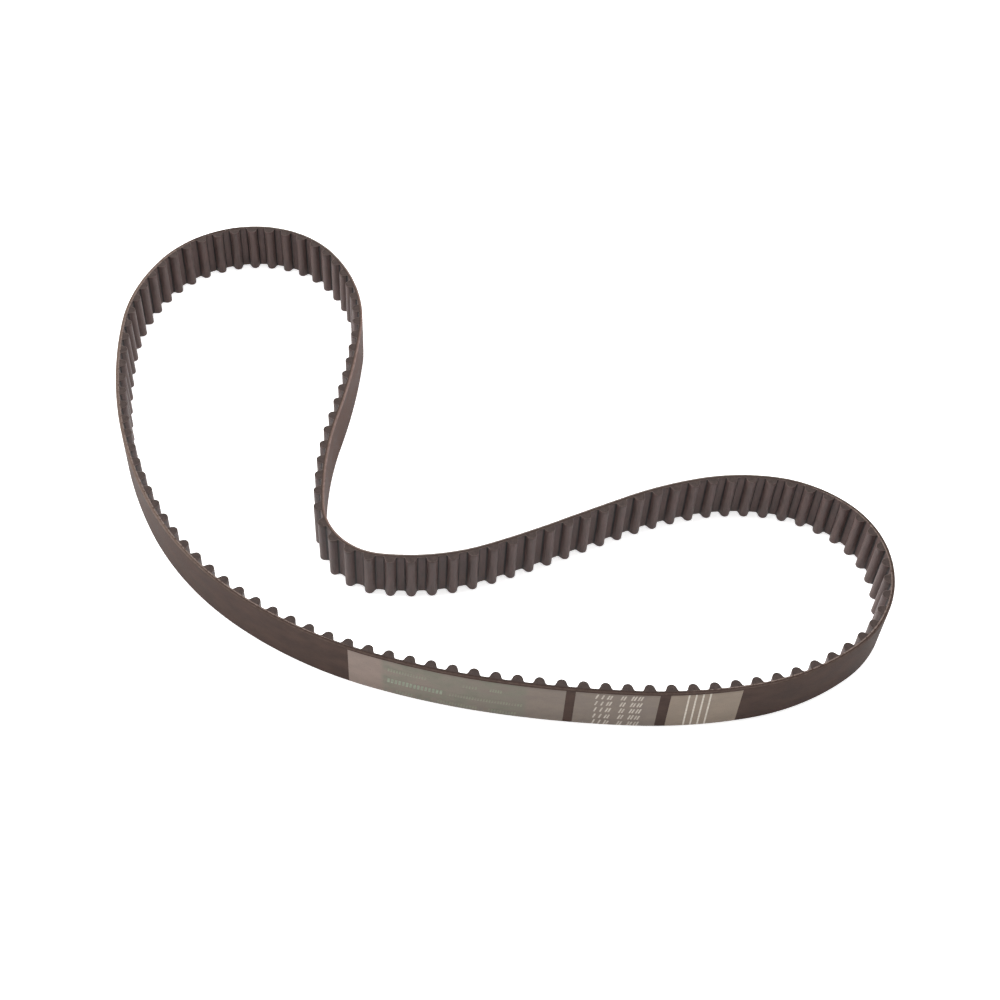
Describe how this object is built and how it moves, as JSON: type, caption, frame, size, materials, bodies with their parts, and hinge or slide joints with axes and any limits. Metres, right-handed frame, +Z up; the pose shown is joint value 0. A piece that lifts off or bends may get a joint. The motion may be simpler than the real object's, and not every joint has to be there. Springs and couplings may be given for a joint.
{
  "type": "timing belt",
  "caption": "Endless synchronous belt with round teeth inside and a printed back, standing on edge in a loose bean-shaped loop; it carries timed drive between toothed pulleys.",
  "frame": {"origin": "on the surface that the belt stands on, at the middle of the loop's box seen from above", "axes": "+Z up across the belt's width, +X along the loop's longest extent, +Y away from the printed span"},
  "size_m": [0.3802, 0.2846, 0.026],
  "materials": {
    "back_rubber": "matte, moulded, with a finely ground back",
    "bedding_rubber": "matte",
    "tooth_rubber": "matte",
    "glass_cord": "twisted glass yarn, treated",
    "facing_fabric": "woven nylon soaked in rubber",
    "label_film": "silver-grey transfer print",
    "white_ink": "printed",
    "green_ink": "printed, faint"
  },
  "bodies": {
    "root": {"back_rubber": "back_rubber", "cord_bedding_rubber": "bedding_rubber", "cords_s_twist": "glass_cord", "cords_z_twist": "glass_cord", "tooth_facing": "facing_fabric", "label_film_maker": "label_film", "label_film_batch": "label_film", "label_film_lines": "label_film", "timing_lines": "white_ink", "batch_rows": "white_ink", "maker_rows": "green_ink", "teeth_01": "tooth_rubber", "teeth_02": "tooth_rubber", "teeth_03": "tooth_rubber", "teeth_04": "tooth_rubber", "teeth_05": "tooth_rubber", "teeth_06": "tooth_rubber", "teeth_07": "tooth_rubber", "teeth_08": "tooth_rubber", "teeth_09": "tooth_rubber", "teeth_10": "tooth_rubber", "teeth_11": "tooth_rubber", "teeth_12": "tooth_rubber", "teeth_13": "tooth_rubber", "teeth_14": "tooth_rubber", "teeth_15": "tooth_rubber", "teeth_16": "tooth_rubber", "teeth_17": "tooth_rubber", "teeth_18": "tooth_rubber", "teeth_19": "tooth_rubber", "teeth_20": "tooth_rubber", "teeth_21": "tooth_rubber", "teeth_22": "tooth_rubber", "teeth_23": "tooth_rubber", "teeth_24": "tooth_rubber", "teeth_25": "tooth_rubber", "teeth_26": "tooth_rubber", "teeth_27": "tooth_rubber", "teeth_28": "tooth_rubber", "teeth_29": "tooth_rubber", "teeth_30": "tooth_rubber", "teeth_31": "tooth_rubber"}
  },
  "joints": []
}
